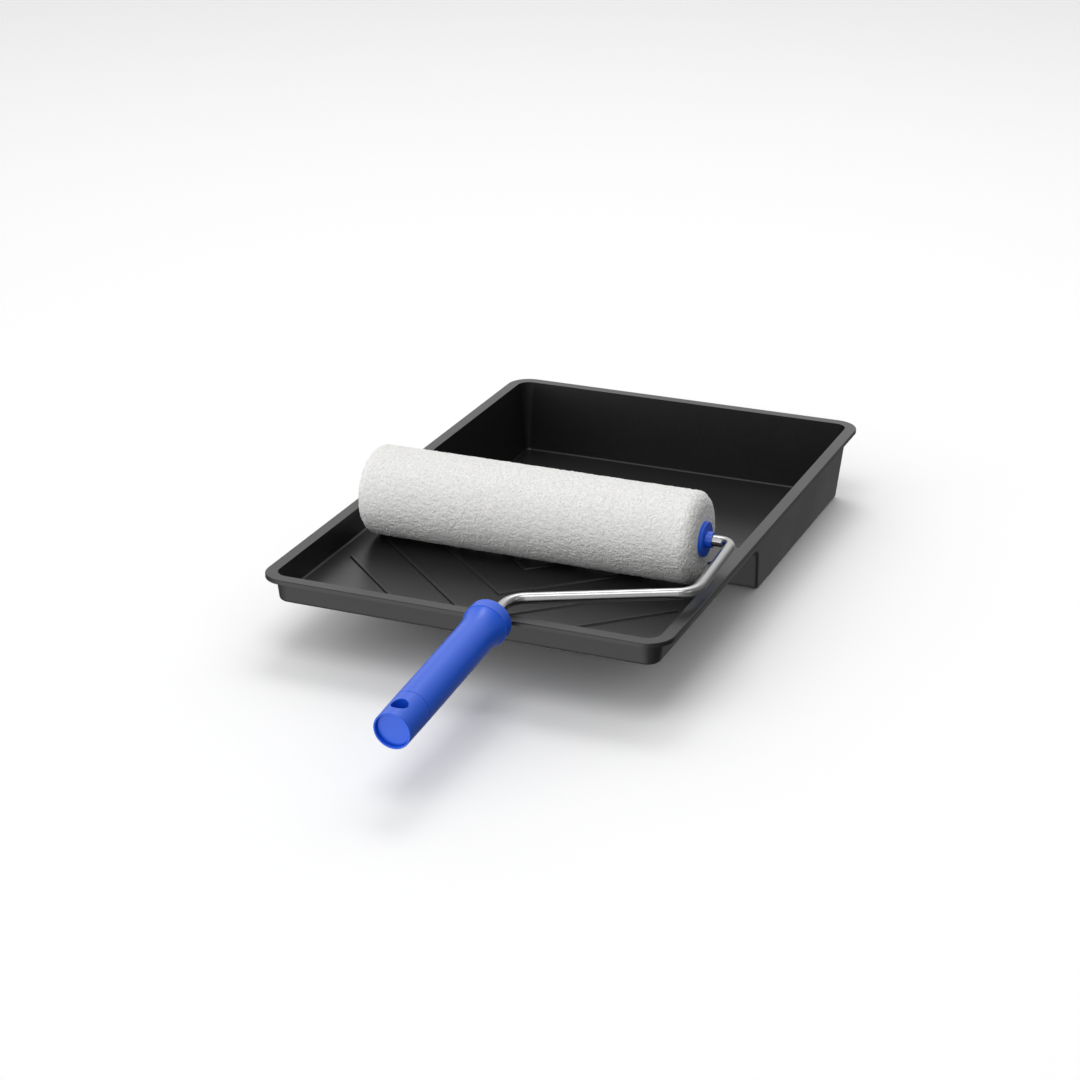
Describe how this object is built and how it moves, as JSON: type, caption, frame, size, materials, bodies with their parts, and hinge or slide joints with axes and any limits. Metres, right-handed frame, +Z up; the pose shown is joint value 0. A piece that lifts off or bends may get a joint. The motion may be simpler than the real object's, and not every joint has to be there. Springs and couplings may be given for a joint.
{
  "type": "paint roller tray",
  "caption": "Moulded paint tray with a ribbed shelf and a deep well, and a foam roller on a bent wire frame with a plastic handle.",
  "frame": {"origin": "middle of the well's flat base, on the surface that the tray stands on", "axes": "+Y along the tray from the shallow shelf towards the deep well, +Z up, +X to the right seen from the shelf end; the roller's axle lies along X and its handle points to -Y"},
  "size_m": [0.2701, 0.56, 0.0975],
  "materials": {
    "tray_plastic": "black, fine grain, slightly glossy",
    "handle_plastic": "blue, moulded, soft gloss",
    "frame_steel": "bright zinc-plated wire",
    "foam": "off-white textured foam",
    "tube_plastic": "natural plastic"
  },
  "bodies": {
    "tray": {"tray_shell": "tray_plastic"},
    "roller_frame": {"frame_rod": "frame_steel", "axle_stop_ring": "frame_steel", "axle_washer": "frame_steel", "axle_push_nut": "frame_steel", "handle_collar": "handle_plastic", "handle_grip": "handle_plastic", "handle_core": "tube_plastic", "handle_hanger": "handle_plastic", "handle_end_disc": "handle_plastic"},
    "roller": {"sleeve_core": "tube_plastic", "sleeve_cover": "foam", "core_plug_right": "tube_plastic", "core_plug_left": "tube_plastic", "bearing_bush_right": "handle_plastic", "bearing_bush_left": "handle_plastic"}
  },
  "joints": [
    {"name": "frame_lift", "type": "slide", "parent": "tray", "child": "roller_frame", "axis": [0, 0, 1], "range_m": [0, 0.15]},
    {"name": "sleeve_spin", "type": "hinge", "parent": "roller_frame", "child": "roller", "pos_m": [0, -0.1772, 0.0678], "axis": [1, 0, 0], "continuous": true}
  ]
}
